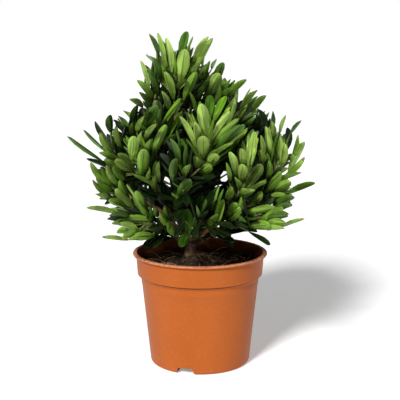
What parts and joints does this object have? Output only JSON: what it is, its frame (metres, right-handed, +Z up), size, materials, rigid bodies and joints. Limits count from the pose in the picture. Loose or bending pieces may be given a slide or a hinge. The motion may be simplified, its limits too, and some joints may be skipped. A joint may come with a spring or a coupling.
{
  "type": "potted podocarpus",
  "caption": "Small evergreen podocarpus with a short trunk, rising boughs and tufts of strap leaves, in a round tapered nursery pot filled with soil.",
  "frame": {"origin": "centre of the pot's flat underside, on the surface it stands on", "axes": "+Z up along the pot's axis, +X to the right and -Y towards the viewer of the picture"},
  "size_m": [0.2351, 0.2028, 0.2955],
  "materials": {
    "pot_plastic": "satin moulded terracotta plastic",
    "peat": "rough damp peat with fibres",
    "bark": "rough fissured bark",
    "leaves": "satin leathery leaf"
  },
  "bodies": {
    "root": {"pot": "pot_plastic", "soil": "peat", "trunk": "bark", "bough_low_right": "bark", "bough_low_right_front": "bark", "bough_low_front": "bark", "bough_low_left_front": "bark", "bough_low_left": "bark", "bough_low_back_left": "bark", "bough_low_back": "bark", "bough_low_back_right": "bark", "bough_mid_right": "bark", "bough_mid_right_front": "bark", "bough_mid_front": "bark", "bough_mid_left_front": "bark", "bough_mid_left": "bark", "bough_mid_back_left": "bark", "bough_mid_back": "bark", "bough_mid_back_right": "bark", "bough_inner_right": "bark", "bough_high_front": "bark", "bough_high_left_front": "bark", "bough_high_left": "bark", "bough_high_back": "bark", "bough_high_right": "bark", "bough_top_left": "bark", "bough_top_right": "bark", "foliage_low_right": "leaves", "foliage_low_right_front": "leaves", "foliage_low_front": "leaves", "foliage_low_left_front": "leaves", "foliage_low_left": "leaves", "foliage_low_back_left": "leaves", "foliage_low_back": "leaves", "foliage_low_back_right": "leaves", "foliage_mid_right": "leaves", "foliage_mid_right_front": "leaves", "foliage_mid_front": "leaves", "foliage_mid_left_front": "leaves", "foliage_mid_left": "leaves", "foliage_mid_back_left": "leaves", "foliage_mid_back": "leaves", "foliage_mid_back_right": "leaves", "foliage_inner_right": "leaves", "foliage_high_front": "leaves", "foliage_high_left_front": "leaves", "foliage_high_left": "leaves", "foliage_high_back": "leaves", "foliage_high_right": "leaves", "foliage_top_left": "leaves", "foliage_top_right": "leaves", "foliage_leader": "leaves"}
  },
  "joints": []
}
